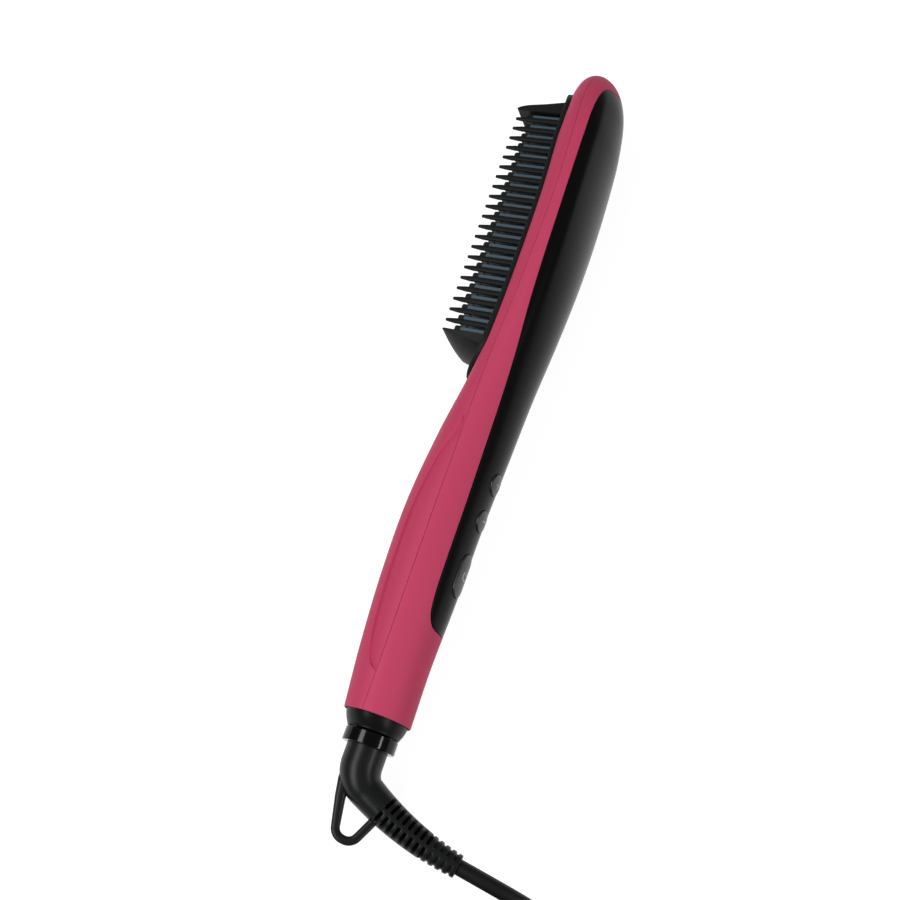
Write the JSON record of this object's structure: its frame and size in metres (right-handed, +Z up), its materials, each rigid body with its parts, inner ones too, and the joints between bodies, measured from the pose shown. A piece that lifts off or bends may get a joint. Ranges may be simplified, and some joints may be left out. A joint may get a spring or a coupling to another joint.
{
  "type": "hair straightening brush",
  "caption": "Heated comb brush for straightening hair: pink tapered body with a glossy cover, push buttons, a comb of teeth over heating fins, and a swivel cord with a plug.",
  "frame": {"origin": "on the table under the middle of the brush as it lies on one flank, cord and plug left out", "axes": "+Y along the body from the cord end to the tip, +X towards the glossy cover's side and away from the teeth, +Z up"},
  "size_m": [0.1345, 0.4291, 0.0427],
  "materials": {
    "pink_plastic": "satin pink moulded plastic",
    "gloss_black_plastic": "polished black plastic",
    "black_comb_plastic": "black heat-resistant plastic, satin",
    "black_plastic": "satin",
    "coated_aluminium": "dark blue-grey ceramic coating",
    "heater_ceramic": "unglazed",
    "mica": "pressed mica sheet",
    "spring_steel": "rolled",
    "screw_steel": "zinc plated",
    "circuit_laminate": "green solder mask",
    "capacitor_plastic": "yellow case",
    "relay_plastic": "moulded",
    "lead_insulation": "silicone insulation",
    "contact_brass": "turned",
    "collar_chrome": "dark chrome plating",
    "boot_rubber": "soft moulded PVC",
    "cord_sheath": "smooth PVC sheath",
    "tie_plastic": "plastic-coated wire tie",
    "plug_plastic": "moulded PVC",
    "pin_metal": "nickel-plated brass"
  },
  "bodies": {
    "handle": {"front_shell": "pink_plastic", "rear_shell": "pink_plastic", "back_cover": "gloss_black_plastic", "shell_screws": "screw_steel", "comb_frame": "black_comb_plastic", "heater_comb": "coated_aluminium", "heating_element": "heater_ceramic", "mica_sheet": "mica", "heater_clamp": "spring_steel", "clamp_screws": "screw_steel", "thermistor": "heater_ceramic", "thermal_fuse": "screw_steel", "circuit_board": "circuit_laminate", "board_screws": "screw_steel", "tact_switches": "black_plastic", "filter_capacitor": "capacitor_plastic", "relay": "relay_plastic", "terminal_block": "relay_plastic", "heater_leads": "lead_insulation", "mains_leads": "lead_insulation", "end_cap": "black_plastic", "contact_blades": "contact_brass", "contact_block": "relay_plastic", "cord": "cord_sheath", "cord_coil": "cord_sheath", "cord_tie": "tie_plastic", "plug_relief": "boot_rubber", "plug_body": "plug_plastic", "plug_pins": "pin_metal"},
    "cord_swivel": {"swivel_barrel": "black_plastic", "contact_rings": "contact_brass", "swivel_collar": "collar_chrome", "cord_boot": "boot_rubber"},
    "power_button_body": {"power_button": "gloss_black_plastic"},
    "minus_button_body": {"minus_button": "gloss_black_plastic"},
    "plus_button_body": {"plus_button": "gloss_black_plastic"}
  },
  "joints": [
    {"name": "cord_turn", "type": "hinge", "parent": "handle", "child": "cord_swivel", "pos_m": [-0.00642, -0.11262, 0.01678], "axis": [0, -0.9999, -0.0173], "continuous": true, "deforming": ["cord"]},
    {"name": "power_press", "type": "slide", "parent": "handle", "child": "power_button_body", "axis": [-0.9617, 0.0047, -0.2741], "range_m": [0, 0.0006], "stiffness_N_per_m": 1200, "springref_m": -0.0004},
    {"name": "minus_press", "type": "slide", "parent": "handle", "child": "minus_button_body", "axis": [-0.9617, 0.0047, -0.2741], "range_m": [0, 0.0006], "stiffness_N_per_m": 1200, "springref_m": -0.0004},
    {"name": "plus_press", "type": "slide", "parent": "handle", "child": "plus_button_body", "axis": [-0.9617, 0.0047, -0.2741], "range_m": [0, 0.0006], "stiffness_N_per_m": 1200, "springref_m": -0.0004}
  ]
}
